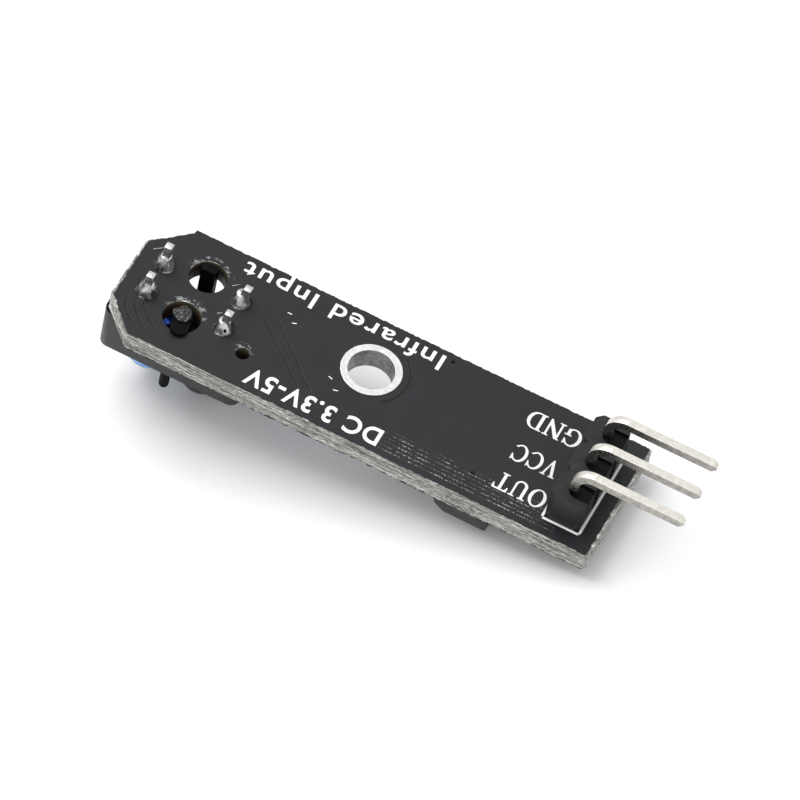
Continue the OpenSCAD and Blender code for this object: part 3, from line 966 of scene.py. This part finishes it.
class MODULE_OT_connector(bpy.types.Operator):
    """Connector: insulator block, three right-angle pins and their solder"""
    bl_idname = "line_sensor.connector"
    bl_label = "Connector"

    def execute(self, context):
        block = coat(merged_copy("pin_block", "insulator_block"), "insulator", "recess")
        block_low, block_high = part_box("pin_block")
        # The near end stands back a little, so that the printed outline beside it shows
        for vertex in block.data.vertices:
            if vertex.co.y < block_low.y + 0.02 * MM:
                vertex.co.y += END_SETBACK
        for name in ("ground", "supply", "output"):
            pin = ease(merged_copy(f"pin_{name}", f"connector_pin_{name}"), 0.022 * MM)
            low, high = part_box(f"pin_{name}")
            # A slot in the top of the block leaves room for the bend. The leg's faces from the board
            # up to the block's top are painted dark: painted shade and painted reflection of the black
            # block
            heart = Vector((low.x + SLOT_PLACE, (low.y + high.y) / 2, block_high.z - SLOT_DEPTH))
            # Faces that face ±Y take the darker flank plating: painted shade on the pin's sides
            for face in pin.data.polygons:
                inside = UNDERSIDE + MM < face.center.z < block_high.z + 0.05 * MM
                face.material_index = 2 if inside else int(abs(face.normal.y) > 0.8)
            # The slot's cut faces take the darker insulator copy: painted shade in the slot
            slot = coat(raised("bend_slot", SLOT_RADIUS, [(SLOT_RADIUS, MM)], heart, 32), "recess")
            for vertex in slot.data.vertices:
                if vertex.co.x > heart.x:
                    vertex.co.x += SLOT_REACH
            cut(block, slot)
            settle(coat(pin, "pin", "side", "leg"), "pin_metal", f"pin_{name}")
            joint = ease(merged_copy(f"pin_joint_{name}", f"pin_solder_{name}"), 0.02 * MM, 1)
            wear(joint, 0.05 * MM, 0.5 * MM, len(name) * 1.7, lambda p: p.z < UNDERSIDE - 5e-5)
            settle(coat(joint, "solder"), "solder", f"pin_joint_{name}")
        ease(block, 0.05 * MM, 2, 25)
        # The block's +X side takes the darker insulator copy: painted shade on that side
        for face in block.data.polygons:
            if face.normal.x > 0.7:
                face.material_index = 1
        settle(block, "header_plastic", "pin_block")
        return {"FINISHED"}


# ------------------------------------------------------------------ sensor

def lead_joint(node, lead, foot, height, pit):
    """Solder on one lead: a hollow-sided cone that the lead stands in, with a pit whose faces are
    painted dark as painted shade.
    """
    low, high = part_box(lead)
    centre = Vector((low.x + 0.26 * MM, (low.y + high.y) / 2, UNDERSIDE + 0.3 * MM))
    base = -centre.z
    lip, lip_height, collar = foot * 0.97, 0.09 * MM, 0.36 * MM
    rings = [(foot * 0.6, base - 0.05 * MM), (lip, base - 0.01 * MM),
             (foot, base + 0.03 * MM), (lip, base + lip_height)]
    for share in (0.12, 0.25, 0.38, 0.5, 0.62, 0.74, 0.85, 0.94, 1.0):
        rings.append((collar + (lip - collar) * (1 - share) ** 0.9,
                      base + lip_height + (height - lip_height) * share))
    rings.append((0.30 * MM, base + height + 0.03 * MM))
    piece = raised(node.replace("joint", "solder"), foot * 0.6, rings, centre, 56)
    wear(piece, 0.045 * MM, 0.6 * MM, foot / MM * 9.1, lambda p: p.z > 0.03 * MM,
         Vector((1, 1, 0.7)))
    coat(piece, "solder")
    # The pit's cut faces take the near-black finish: painted shade in the pit
    if pit:
        coat(piece, "flux")
        clear_selection()
        bpy.ops.mesh.primitive_uv_sphere_add(segments=20, ring_count=12, radius=0.13 * MM)
        tool = coat(bpy.context.object, "flux")
        tool.data.transform(Matrix.Translation(
            Vector((centre.x + pit[0] * MM, centre.y + pit[1] * MM, pit[2] * MM)))
            @ Matrix.Diagonal((1.0, 0.8, 1.3, 1)))
        cut(piece, tool)
    smooth(piece, 50)
    return settle(piece, "solder", node)


# Depths below the underside where the housing's front ends and where its pegs start
FRONT_DEPTH, PEG_DEPTH = 3.6 * MM, 0.3 * MM


class MODULE_OT_sensor(bpy.types.Operator):
    """Sensor: housing, emitter and detector lamps, their leads and solder"""
    bl_idname = "line_sensor.sensor"
    bl_label = "Sensor"

    def execute(self, context):
        housing = ease(merged_copy("sensor_housing", "housing_shell"), 0.09 * MM)
        # Pegs and feet take the darker copy of the housing plastic: painted shade
        for face in housing.data.polygons:
            shell = PEG_DEPTH < UNDERSIDE - face.center.z < FRONT_DEPTH
            face.material_index = int(not shell)
        settle(coat(housing, "housing", "peg"), "housing_plastic", "sensor_housing")
        head = raised("peg_head", 0.46 * MM, [(0.60 * MM, 0.06 * MM), (0.63 * MM, 0.15 * MM),
                                              (0.58 * MM, 0.23 * MM), (0.42 * MM, 0.26 * MM),
                                              (0.22 * MM, 0.24 * MM)],
                      NEAR_PEG + Vector((0, 0, 0.26 * MM)), 40)
        wear(head, 0.13 * MM, 0.32 * MM, 6.0)
        settle(coat(smooth(head, 50), "frosted"), "housing_plastic")
        for name, tint, slot in (("emitter", "blue", "blue_resin"),
                                 ("detector", "black", "black_resin")):
            lamp = ease(merged_copy(f"{name}_lamp", f"{name}_dome"), 0.05 * MM, flat=False)
            settle(coat(lamp, tint), slot, f"{name}_lamp")
        # Lead frame that shows through the clear emitter: cup, anvil and post
        low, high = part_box("emitter_lamp")
        x, y = (low.x + high.x) / 2, (low.y + high.y) / 2
        shoulder, tip = low.z + 4.6 * MM, low.z + 2.1 * MM
        cup = raised("cup", 0.30 * MM, [(0.50 * MM, 0.35 * MM), (0.42 * MM, 0.35 * MM),
                                        (0.22 * MM, 0.12 * MM)], (0, 0, 0), 32)
        cup.data.transform(Matrix.Translation((x, y + 0.35 * MM, tip))
                           @ Matrix.Rotation(math.pi, 4, "X"))
        anvil = rod((x, y + 0.55 * MM, shoulder), (x, y + 0.40 * MM, tip), 0.34 * MM,
                    0.20 * MM, taper=0.8)
        post = rod((x, y - 0.80 * MM, shoulder), (x, y - 0.55 * MM, tip + 0.1 * MM), 0.26 * MM,
                   0.17 * MM, taper=0.7)
        parts = [ease(part, 0.02 * MM) for part in (cup, anvil, post)]
        settle(coat(join("emitter_frame", parts), "tin"), "tin_plate")
        joints = (("emitter", "far", 0.77, 1.00, (-0.42, -0.30, 0.46)),
                  ("emitter", "near", 0.77, 0.98, None),
                  ("detector", "far", 0.76, 0.86, None),
                  ("detector", "near", 0.75, 0.82, (0.28, -0.46, 0.36)))
        for lamp, side, foot, height, pit in joints:
            node = f"{lamp}_lead_{side}"
            lead = ease(merged_copy(node, f"{lamp}_wire_{side}"), 0.05 * MM)
            settle(coat(lead, "tin"), "tin_plate", node)
            lead_joint(f"{lamp}_joint_{side}", node, foot * MM, height * MM, pit)
        # Bright scuffs that the cutter left beside three of the leads
        scuffs = [((-16.54, 1.14), (-15.98, 1.62)), ((-10.80, 1.22), (-10.38, 1.62)),
                  ((-10.62, -1.30), (-10.36, -1.04))]
        bars = strips(scuffs, 0.008 * MM, 0.032 * MM, 0.012 * MM, sides=6, taper=0.3)
        settle(coat(join("board_scuffs", bars), "tin"), "tin_plate")
        return {"FINISHED"}


# ------------------------------------------------------------------ underside

# How far the solder of each kind of terminal spreads past it, and how high it climbs, in mm
FILLETS = {"comparator_leads": (0.14, 0.14), "trimmer_terminals": (0.13, 0.07),
           "resistor_ends": (0.13, 0.24), "capacitor_ends": (0.16, 0.36),
           "signal_lamp_ends": (0.13, 0.16)}
# Short printed lines beside the small parts: where each starts and ends, in mm
PART_LINES = [((4.35, 1.9), (6.25, 1.9)), ((4.35, 3.3), (6.25, 3.3)),
              ((4.35, 0.3), (6.25, 0.3)), ((4.35, -1.5), (6.25, -1.5)),
              ((8.5, 2.2), (10.45, 2.2)), ((8.5, 0.75), (10.45, 0.75)),
              ((13.1, -4.4), (13.1, -2.4)), ((14.5, -4.4), (14.5, -2.4)),
              ((13.1, 0.9), (13.1, 2.9)), ((14.5, 0.9), (14.5, 2.9)), ((13.1, 2.9), (14.5, 2.9)),
              ((-7.2, -2.2), (-7.2, 0.9)), ((-3.2, -2.7), (-3.2, 0.9)),
              ((-7.2, 0.9), (-6.3, 0.9)), ((-4.1, 0.9), (-3.2, 0.9))]


# Length of a gull-wing lead's foot, and the dimple that marks the chip's first lead
FOOT_LENGTH = 0.42 * MM
DIMPLE_RADIUS, DIMPLE_INSET, DIMPLE_START = 0.34 * MM, 0.75 * MM, 0.42 * MM


def separate_boxes(node):
    """Lowest and highest corner of each separate solid of a CAD node."""
    hold(merged_copy(node, "loose"))
    bpy.ops.mesh.separate(type="LOOSE")
    boxes = []
    for part in list(bpy.context.selected_objects):
        points = [v.co for v in part.data.vertices]
        boxes.append([Vector([pick_end(p[i] for p in points) for i in range(3)])
                      for pick_end in (min, max)])
        bpy.data.objects.remove(part)
    return boxes


def solder_fillets():
    """A low sloping bed of solder under every terminal of the underside parts."""
    beds = []
    chip_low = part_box("comparator_body")[0]
    for node, (spread, climb) in FILLETS.items():
        for low, high in separate_boxes(node):
            if node == "comparator_leads":
                # Only the outer end of a gull-wing lead touches the board
                if low.x > chip_low.x:
                    low.x = high.x - FOOT_LENGTH
                else:
                    high.x = low.x + FOOT_LENGTH
            middle, half = (low + high) / 2, (high - low) / 2
            bed = rod((middle.x, middle.y, UNDERSIDE + 0.01 * MM),
                      (middle.x, middle.y, UNDERSIDE - climb * MM),
                      half.x + spread * MM, half.y + spread * MM, taper=0.72)
            beds.append(ease(bed, 0.04 * MM))
    return join("underside_fillets", beds)


class MODULE_OT_underside(bpy.types.Operator):
    """Underside parts: comparator, trimmer, resistors, capacitor and signal lamp"""
    bl_idname = "line_sensor.underside"
    bl_label = "Underside parts"

    def execute(self, context):
        chip = merged_copy("comparator_body", "comparator_case")
        low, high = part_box("comparator_body")
        heart = Vector((high.x - DIMPLE_INSET, low.y + DIMPLE_INSET, low.z - DIMPLE_START))
        dimple = raised("dimple", DIMPLE_RADIUS, [(DIMPLE_RADIUS, 0.5 * MM)], heart, 32)
        cut(chip, dimple)
        ease(chip, 0.05 * MM, 2, 20)
        settle(coat(chip, "chip"), "chip_resin", "comparator_body")
        plain = [
            ("comparator_leads", "comparator_feet", "tin", "tin_plate", 0.03),
            ("trimmer_base", "trimmer_case", "trimmer", "trimmer_plastic", 0.07),
            ("trimmer_terminals", "trimmer_feet", "tin", "tin_plate", 0.03),
            ("emitter_resistor", "resistor_emitter", "glaze", "resistor_glaze", 0.04),
            ("detector_resistor", "resistor_detector", "glaze", "resistor_glaze", 0.04),
            ("output_resistor", "resistor_output", "glaze", "resistor_glaze", 0.04),
            ("signal_lamp_resistor", "resistor_signal", "glaze", "resistor_glaze", 0.04),
            ("resistor_ends", "resistor_caps", "tin", "tin_plate", 0.05),
            ("supply_capacitor", "capacitor_block", "ceramic", "capacitor_ceramic", 0.05),
            ("capacitor_ends", "capacitor_caps", "tin", "tin_plate", 0.05),
            ("signal_lamp", "signal_lens", "pale", "lamp_resin", 0.05),
            ("signal_lamp_ends", "signal_caps", "gold", "gold_plate", 0.03),
        ]
        for node, name, look, slot, width in plain:
            settle(coat(ease(merged_copy(node, name), width * MM), look), slot, node)
        settle(coat(solder_fillets(), "solder"), "solder")
        sizes = context.scene.board_sizes
        ink, level = sizes.ink_thickness, UNDERSIDE - sizes.ink_thickness / 2
        thin = sizes.line_width * 0.8
        lines = outline_box(low.xy - Vector((0.12, 0.16)) * MM, high.xy + Vector((0.12, 0.16)) * MM,
                            thin, level, ink)
        lines += strips(PART_LINES, level, thin / 2, ink / 2)
        settle(coat(join("underside_outlines", lines), "ink"), "board_laminate")
        rotor = ease(merged_copy("trimmer_rotor", "trimmer_screw"), 0.04 * MM)
        settle(coat(rotor, "steel"), "rotor_metal", "trimmer_rotor", body="trimmer_rotor")
        return {"FINISHED"}


# ------------------------------------------------------------------ stage

def soft_light(name, power, size, place, aim):
    """A square soft light at a place, turned to its aim."""
    lamp = bpy.data.lights.new(name, "AREA")
    lamp.energy, lamp.size = power, size
    made = bpy.data.objects.new(name, lamp)
    bpy.context.scene.collection.objects.link(made)
    made.location = place
    made.rotation_euler = (Vector(aim) - Vector(place)).to_track_quat("-Z", "Y").to_euler()
    return made


DOME_RADIUS, PIN_WIDTH = 1.5 * MM, 0.6 * MM


class MODULE_OT_stage(bpy.types.Operator):
    """Stage: pale floor under the resting module, soft lights and camera"""
    bl_idname = "line_sensor.stage"
    bl_label = "Stage"

    def execute(self, context):
        scene, stage = context.scene, context.scene.stage_settings
        # The module rests on the detector's dome and on the three pin tails
        dome_low, dome_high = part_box("detector_lamp")
        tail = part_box("pin_output")
        dome = Vector(((dome_low.x + dome_high.x) / 2, 0, dome_low.z + DOME_RADIUS))
        heel = Vector((tail[0].x + PIN_WIDTH, 0, tail[0].z))
        run, rise = heel.x - dome.x, heel.z - dome.z
        tilt = math.atan2(rise, run) + math.asin(DOME_RADIUS / math.hypot(run, rise))
        up = Vector((-math.sin(tilt), 0, math.cos(tilt)))
        clear_selection()
        bpy.ops.mesh.primitive_circle_add(vertices=128, radius=stage.floor_radius,
                                          fill_type="NGON")
        floor = context.object
        floor.name = "floor"
        floor.data.transform(Matrix.Translation(up * up.dot(heel))
                             @ Matrix.Rotation(-tilt, 4, "Y"))
        pale = Finish("floor_paper")
        pale.set(Base_Color=pale.ramp(pale.grain(6 * MM, 2),
                                      (0.3, shade(stage.floor_colour, 0.985)),
                                      (0.7, stage.floor_colour)),
                 Roughness=0.9, Specular_IOR_Level=0.1)
        # Seen from below the floor gives way, so that the underside can be looked at
        back = pale.add("ShaderNodeNewGeometry").outputs["Backfacing"]
        clear = pale.add("ShaderNodeBsdfTransparent").outputs[0]
        mix = pale.add("ShaderNodeMixShader")
        for socket, value in zip(mix.inputs, (back, pale.shader.outputs[0], clear)):
            pale.tree.links.new(value, socket)
        pale.tree.links.new(mix.outputs[0],
                            pale.tree.nodes["Material Output"].inputs["Surface"])
        floor.data.materials.append(pale.material)

        soft_light("key_light", stage.key_power, 0.34, (-0.26, 0.02, 0.38), (0, 0, 0))
        soft_light("fill_light", stage.fill_power, 0.30, (0.34, -0.16, 0.20), (0, 0, 0))

        world = bpy.data.worlds.new("studio")
        scene.world = world
        world.use_nodes = True
        nodes, links = world.node_tree.nodes, world.node_tree.links
        surround = nodes["Background"]
        surround.inputs["Color"].default_value = (0.985, 0.99, 1.0, 1)
        surround.inputs["Strength"].default_value = stage.ambient
        backdrop = nodes.new("ShaderNodeBackground")
        backdrop.inputs["Color"].default_value = (1, 1, 1, 1)
        backdrop.inputs["Strength"].default_value = 1.05
        rays, mixer = nodes.new("ShaderNodeLightPath"), nodes.new("ShaderNodeMixShader")
        for value, socket in ((rays.outputs["Is Camera Ray"], mixer.inputs[0]),
                              (surround.outputs[0], mixer.inputs[1]),
                              (backdrop.outputs[0], mixer.inputs[2]),
                              (mixer.outputs[0], nodes["World Output"].inputs["Surface"])):
            links.new(value, socket)
        scene.view_settings.view_transform = "Standard"
        scene.view_settings.look = "None"

        camera = bpy.data.objects.new("camera", bpy.data.cameras.new("camera"))
        scene.collection.objects.link(camera)
        camera.data.lens, camera.data.sensor_width = stage.lens, 36
        camera.data.clip_start, camera.data.clip_end = 0.01, 5
        camera.location, camera.rotation_euler = stage.camera_place, stage.camera_turn
        scene.camera = camera
        return {"FINISHED"}


# ------------------------------------------------------------------ add-on

OPERATORS = (MODULE_OT_stage, MODULE_OT_board, MODULE_OT_legend, MODULE_OT_connector,
             MODULE_OT_sensor, MODULE_OT_underside)
SETTINGS = {"module_looks": ModuleLooks, "board_sizes": BoardSizes,
            "legend_words": LegendWords, "stage_settings": StageSettings}


class MODULE_PT_sidebar(bpy.types.Panel):
    """Lists the steps that build the module and their settings"""
    bl_idname = "MODULE_PT_sidebar"
    bl_label = "Line Sensor Module"
    bl_space_type = "VIEW_3D"
    bl_region_type = "UI"
    bl_category = "Module"

    def draw(self, context):
        for operator in OPERATORS:
            self.layout.operator(operator.bl_idname)
        for name, group in SETTINGS.items():
            box = self.layout.box()
            for key in group.__annotations__:
                box.prop(getattr(context.scene, name), key)


def register():
    for group in SETTINGS.values():
        bpy.utils.register_class(group)
    for name, group in SETTINGS.items():
        setattr(bpy.types.Scene, name, PointerProperty(type=group))
    for operator in OPERATORS:
        bpy.utils.register_class(operator)
    bpy.utils.register_class(MODULE_PT_sidebar)


def unregister():
    bpy.utils.unregister_class(MODULE_PT_sidebar)
    for operator in reversed(OPERATORS):
        bpy.utils.unregister_class(operator)
    for name in SETTINGS:
        delattr(bpy.types.Scene, name)
    for group in reversed(list(SETTINGS.values())):
        bpy.utils.unregister_class(group)


def main():
    register()
    for operator in OPERATORS:
        group, name = operator.bl_idname.split(".")
        getattr(getattr(bpy.ops, group), name)()


if __name__ == "__main__":
    main()
